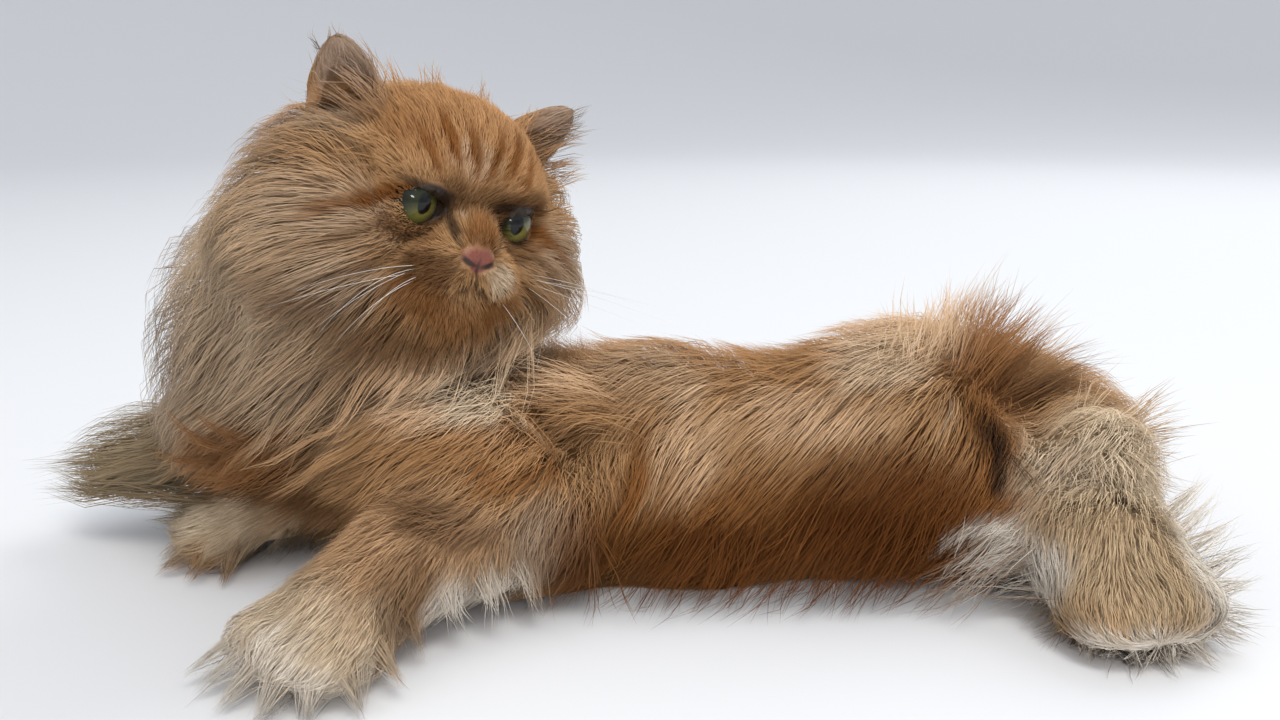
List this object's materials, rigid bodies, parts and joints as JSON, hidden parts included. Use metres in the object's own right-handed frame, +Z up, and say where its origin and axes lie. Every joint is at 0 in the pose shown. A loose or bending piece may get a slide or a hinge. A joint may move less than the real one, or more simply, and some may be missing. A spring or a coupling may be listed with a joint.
{
  "type": "long-haired cat model",
  "caption": "Life-size still model of a red long-haired cat lying on the floor, its flat face turned back over its left shoulder.",
  "frame": {"origin": "on the floor under the belly, on the trunk's resting flat", "axes": "+X from the chest towards the rump, -Y out of the cat's left side, +Z up"},
  "size_m": [0.5751, 0.3419, 0.2489],
  "materials": {
    "eye": "wet, clear, olive green with a black pupil",
    "tan_coat": "long soft fur, tan",
    "cream_coat": "long soft fur, cream",
    "red_coat": "long soft fur, reddish brown"
  },
  "bodies": {
    "root": {"eye_left": "eye", "eye_right": "eye", "ear_left": "tan_coat", "ear_right": "tan_coat", "chin": "cream_coat", "muzzle": "tan_coat", "head": "tan_coat", "neck": "tan_coat", "bib": "cream_coat", "paw_front_right": "cream_coat", "paw_front_left": "cream_coat", "forearm_left": "tan_coat", "upper_arm_left": "tan_coat", "ruff": "tan_coat", "foot_hind_left": "cream_coat", "shank_left": "tan_coat", "tail_tip": "red_coat", "tail_middle": "red_coat", "tail_base": "red_coat", "foot_hind_right": "cream_coat", "shank_right": "tan_coat", "thigh_left": "red_coat", "thigh_right": "red_coat", "rump": "red_coat", "belly": "tan_coat", "shoulders": "tan_coat"}
  },
  "joints": []
}
